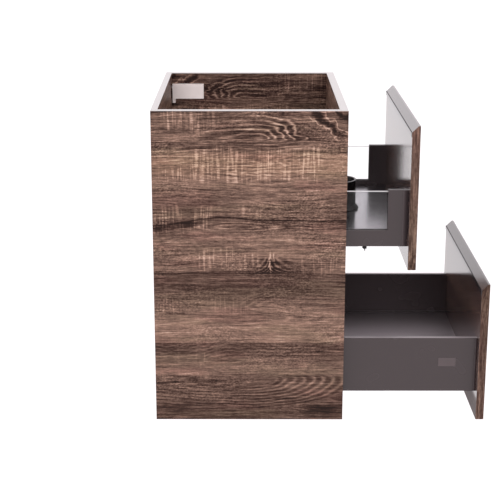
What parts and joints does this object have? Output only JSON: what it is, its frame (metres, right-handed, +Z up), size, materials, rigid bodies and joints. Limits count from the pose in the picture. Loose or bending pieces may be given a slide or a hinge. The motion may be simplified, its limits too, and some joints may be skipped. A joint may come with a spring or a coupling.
{
  "type": "bathroom vanity cabinet",
  "caption": "Wall-hung bathroom vanity cabinet with bevelled handleless drawer fronts, metal-sided pull-out drawers, a siphon cut-out and concealed wall hangers.",
  "frame": {"origin": "middle of the cabinet's bottom edge on the wall plane", "axes": "+X to the right seen from behind the front, -Y out of the front, +Z up"},
  "size_m": [0.6, 0.836, 0.8],
  "materials": {
    "wood_decor": "matt rough-sawn oak decor laminate",
    "edge_band": "satin pale grey edge band",
    "beech": "plain",
    "white_plastic": "semi-gloss",
    "zinc_steel": "bright zinc plated",
    "runner_steel": "grey zinc plated",
    "dark_strip": "satin",
    "drawer_metal": "satin anthracite powder coat",
    "pane_glass": "clear, polished edges",
    "grey_board": "satin anthracite melamine board",
    "black_plastic": "satin moulded",
    "trim_metal": "satin",
    "cap_plastic": "satin anthracite"
  },
  "bodies": {
    "cabinet": {"side_panel_left": "wood_decor", "side_panel_right": "wood_decor", "bottom_panel": "wood_decor", "top_front_rail": "wood_decor", "middle_rail": "wood_decor", "top_back_rail": "wood_decor", "lower_back_rail": "wood_decor", "top_edge_bands": "edge_band", "carcass_dowels": "beech", "hanger_left": "white_plastic", "hanger_right": "white_plastic", "hook_left": "zinc_steel", "hook_right": "zinc_steel", "hanger_screws": "zinc_steel", "wall_plate_left": "zinc_steel", "wall_plate_right": "zinc_steel", "upper_runner_left": "runner_steel", "upper_runner_right": "runner_steel", "lower_runner_left": "runner_steel", "lower_runner_right": "runner_steel", "runner_screws": "zinc_steel"},
    "upper_drawer": {"upper_front": "wood_decor", "upper_grip_strip": "dark_strip", "upper_side_left": "drawer_metal", "upper_side_right": "drawer_metal", "upper_glass_left": "pane_glass", "upper_glass_right": "pane_glass", "upper_bottom": "grey_board", "upper_back_left": "grey_board", "upper_back_right": "grey_board", "siphon_surround": "black_plastic", "surround_trim": "trim_metal", "upper_drawer_rail_left": "runner_steel", "upper_drawer_rail_right": "runner_steel", "upper_front_brackets": "zinc_steel", "upper_front_screws": "zinc_steel", "latch_base_left": "black_plastic", "latch_base_right": "black_plastic"},
    "lower_drawer": {"lower_front": "wood_decor", "lower_grip_strip": "dark_strip", "lower_side_left": "drawer_metal", "lower_side_right": "drawer_metal", "lower_bottom": "grey_board", "lower_back": "grey_board", "lower_cover_caps": "cap_plastic", "lower_drawer_rail_left": "runner_steel", "lower_drawer_rail_right": "runner_steel", "lower_front_brackets": "zinc_steel", "lower_front_screws": "zinc_steel"},
    "upper_middle_left": {"upper_slide_left": "zinc_steel"},
    "upper_middle_right": {"upper_slide_right": "zinc_steel"},
    "lower_middle_left": {"lower_slide_left": "zinc_steel"},
    "lower_middle_right": {"lower_slide_right": "zinc_steel"},
    "left_latch": {"latch_lever_left": "black_plastic"},
    "right_latch": {"latch_lever_right": "black_plastic"}
  },
  "joints": [
    {"name": "upper_drawer_slide", "type": "slide", "parent": "cabinet", "child": "upper_drawer", "axis": [0, -1, 0], "range_m": [-0.151, 0.239]},
    {"name": "lower_drawer_slide", "type": "slide", "parent": "cabinet", "child": "lower_drawer", "axis": [0, -1, 0], "range_m": [-0.338, 0.052]},
    {"name": "upper_middle_left_slide", "type": "slide", "parent": "cabinet", "child": "upper_middle_left", "axis": [0, -1, 0], "range_m": [-0.076, 0.12]},
    {"name": "upper_middle_right_slide", "type": "slide", "parent": "cabinet", "child": "upper_middle_right", "axis": [0, -1, 0], "range_m": [-0.076, 0.12]},
    {"name": "lower_middle_left_slide", "type": "slide", "parent": "cabinet", "child": "lower_middle_left", "axis": [0, -1, 0], "range_m": [-0.1695, 0.0265]},
    {"name": "lower_middle_right_slide", "type": "slide", "parent": "cabinet", "child": "lower_middle_right", "axis": [0, -1, 0], "range_m": [-0.1695, 0.0265]},
    {"name": "left_latch_turn", "type": "hinge", "parent": "upper_drawer", "child": "left_latch", "pos_m": [-0.235, -0.526, 0.4443], "axis": [0, 0, 1], "range_deg": [0, 20], "stiffness_Nm_per_rad": 0.05},
    {"name": "right_latch_turn", "type": "hinge", "parent": "upper_drawer", "child": "right_latch", "pos_m": [0.235, -0.526, 0.4443], "axis": [0, 0, -1], "range_deg": [0, 20], "stiffness_Nm_per_rad": 0.05}
  ],
  "couplings": [
    {"joint": "upper_middle_left_slide", "follows": "upper_drawer_slide", "ratio": 0.5},
    {"joint": "upper_middle_right_slide", "follows": "upper_drawer_slide", "ratio": 0.5},
    {"joint": "lower_middle_left_slide", "follows": "lower_drawer_slide", "ratio": 0.5},
    {"joint": "lower_middle_right_slide", "follows": "lower_drawer_slide", "ratio": 0.5}
  ]
}
